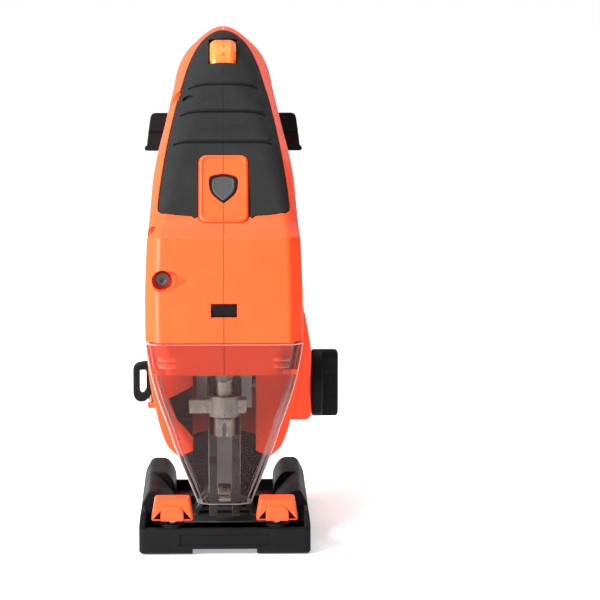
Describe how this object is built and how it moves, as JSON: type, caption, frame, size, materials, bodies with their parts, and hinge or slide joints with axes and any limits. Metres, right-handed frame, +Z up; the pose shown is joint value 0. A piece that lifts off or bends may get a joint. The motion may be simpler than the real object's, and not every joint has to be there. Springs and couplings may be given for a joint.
{
  "type": "cordless jigsaw",
  "caption": "Cordless D-handle jigsaw with clear dust cover, tilting shoe, blade clamp and plunger, geared motor, speed dial, selector knob and slide-on battery pack.",
  "frame": {"origin": "on the sole of the shoe, on the centre line, 52 mm behind the shoe's front edge and just behind the blade slot", "axes": "+Z up from the sole, -Y towards the front of the tool, +X towards the user's left when standing behind it"},
  "size_m": [0.0884, 0.2575, 0.2103],
  "materials": {
    "orange_plastic": "satin moulded nylon",
    "grip_rubber": "matt textured overmould",
    "black_plastic": "fine grained moulding",
    "dial_plastic": "satin",
    "clear_plastic": "clear polycarbonate",
    "bright_steel": "machined",
    "dark_steel": "black oxide",
    "cast_aluminium": "as cast",
    "bronze": "sintered",
    "circuit_board": "solder mask",
    "copper_winding": "lacquered wire, as one solid",
    "cell_can": "sleeved cell"
  },
  "bodies": {
    "housing": {"housing_left": "orange_plastic", "housing_right": "orange_plastic", "lock_off_pad": "orange_plastic", "grip_left": "grip_rubber", "grip_right": "grip_rubber", "switch_body": "black_plastic", "terminal_block": "black_plastic", "speed_dial_axle": "bright_steel", "gear_axle": "bright_steel", "motor_bearing_front": "bright_steel", "motor_bearing_rear": "bright_steel", "guide_pivot_pin": "bright_steel", "lever_pin": "bright_steel", "bevel_bolt": "bright_steel", "housing_screw_1": "dark_steel", "housing_screw_2": "dark_steel", "housing_screw_3": "dark_steel", "housing_screw_4": "dark_steel", "housing_screw_5": "dark_steel", "housing_screw_6": "dark_steel", "motor_can": "dark_steel", "work_light": "clear_plastic", "control_board": "circuit_board", "gear_plate": "cast_aluminium", "gear_case": "cast_aluminium", "base_bracket": "cast_aluminium", "plunger_bush": "bronze"},
    "trigger": {"trigger": "black_plastic"},
    "lock_off": {"lock_off_button": "black_plastic"},
    "light_switch": {"light_switch": "black_plastic"},
    "speed_dial": {"speed_dial": "dial_plastic"},
    "selector": {"selector_knob": "black_plastic", "selector_shaft": "bright_steel"},
    "loop_lever": {"loop_lever": "black_plastic"},
    "shoe": {"shoe_sheath": "black_plastic", "shoe_plate": "dark_steel", "clamp_screw_left": "bright_steel", "clamp_screw_right": "bright_steel"},
    "clamp_knob_left": {"clamp_knob_left": "orange_plastic"},
    "clamp_knob_right": {"clamp_knob_right": "orange_plastic"},
    "plunger": {"plunger": "bright_steel", "blade_holder": "bright_steel"},
    "clamp_collar": {"clamp_collar": "bright_steel"},
    "drive_gear": {"drive_gear": "bright_steel"},
    "rotor": {"motor_shaft": "bright_steel", "pinion": "bright_steel", "armature": "copper_winding", "fan": "black_plastic"},
    "blade_guide": {"blade_guide": "dark_steel", "roller_pin": "bright_steel"},
    "guide_roller": {"guide_roller": "bright_steel"},
    "dust_cover": {"dust_cover": "clear_plastic"},
    "battery": {"battery_lower_shell": "black_plastic", "battery_upper_shell": "black_plastic", "battery_cell_1": "cell_can", "battery_cell_2": "cell_can", "battery_cell_3": "cell_can", "battery_cell_4": "cell_can", "battery_cell_5": "cell_can"},
    "battery_latch": {"battery_latch": "black_plastic"}
  },
  "joints": [
    {"name": "trigger_pull", "type": "slide", "parent": "housing", "child": "trigger", "axis": [0, -0.4921, 0.8706], "range_m": [0, 0.006], "stiffness_N_per_m": 600},
    {"name": "lock_off_press", "type": "slide", "parent": "housing", "child": "lock_off", "axis": [0, 0.8036, -0.5952], "range_m": [0, 0.0018], "stiffness_N_per_m": 400},
    {"name": "light_switch_press", "type": "slide", "parent": "housing", "child": "light_switch", "axis": [0, 1, 0], "range_m": [0, 0.0012], "stiffness_N_per_m": 400},
    {"name": "speed_dial_turn", "type": "hinge", "parent": "housing", "child": "speed_dial", "pos_m": [0, 0.0704, 0.191], "axis": [1, 0, 0], "range_deg": [0, 240]},
    {"name": "selector_turn", "type": "hinge", "parent": "housing", "child": "selector", "pos_m": [0.04, 0.003, 0.0628], "axis": [1, 0, 0], "range_deg": [0, 135]},
    {"name": "loop_lever_swing", "type": "hinge", "parent": "housing", "child": "loop_lever", "pos_m": [-0.0316, -0.003, 0.0655], "axis": [0, 0, 1], "range_deg": [0, 25], "stiffness_Nm_per_rad": 0.05},
    {"name": "shoe_bevel", "type": "hinge", "parent": "housing", "child": "shoe", "pos_m": [0, 0, 0], "axis": [0, 1, 0], "range_deg": [-45, 45]},
    {"name": "clamp_knob_left_turn", "type": "hinge", "parent": "shoe", "child": "clamp_knob_left", "pos_m": [0.022, -0.045, 0.018], "axis": [0, 0, 1], "range_deg": [0, 180]},
    {"name": "clamp_knob_right_turn", "type": "hinge", "parent": "shoe", "child": "clamp_knob_right", "pos_m": [-0.022, -0.045, 0.018], "axis": [0, 0, 1], "range_deg": [0, 180]},
    {"name": "plunger_stroke", "type": "slide", "parent": "housing", "child": "plunger", "axis": [0, 0, 1], "range_m": [-0.018, 0]},
    {"name": "clamp_collar_turn", "type": "hinge", "parent": "plunger", "child": "clamp_collar", "pos_m": [0, -0.0175, 0.056], "axis": [0, 0, 1], "range_deg": [0, 60], "stiffness_Nm_per_rad": 0.05},
    {"name": "drive_gear_spin", "type": "hinge", "parent": "housing", "child": "drive_gear", "pos_m": [0, -0.004, 0.10743], "axis": [0, 1, 0], "continuous": true},
    {"name": "rotor_spin", "type": "hinge", "parent": "housing", "child": "rotor", "pos_m": [0, 0.04, 0.084], "axis": [0, 1, 0], "continuous": true},
    {"name": "blade_guide_swing", "type": "hinge", "parent": "housing", "child": "blade_guide", "pos_m": [0, 0.003, 0.066], "axis": [-1, 0, 0], "range_deg": [0, 3]},
    {"name": "guide_roller_spin", "type": "hinge", "parent": "blade_guide", "child": "guide_roller", "pos_m": [0, -0.0096, 0.017], "axis": [1, 0, 0], "continuous": true},
    {"name": "dust_cover_tip", "type": "hinge", "parent": "housing", "child": "dust_cover", "pos_m": [0, -0.0405, 0.0867], "axis": [-1, 0, 0], "range_deg": [0, 80]},
    {"name": "battery_slide", "type": "slide", "parent": "housing", "child": "battery", "axis": [0, 0.9945, -0.1045], "range_m": [0, 0.09]},
    {"name": "battery_latch_press", "type": "slide", "parent": "battery", "child": "battery_latch", "axis": [0, -0.1045, -0.9945], "range_m": [0, 0.0025], "stiffness_N_per_m": 500}
  ],
  "couplings": [
    {"joint": "drive_gear_spin", "follows": "rotor_spin", "ratio": -0.225}
  ]
}
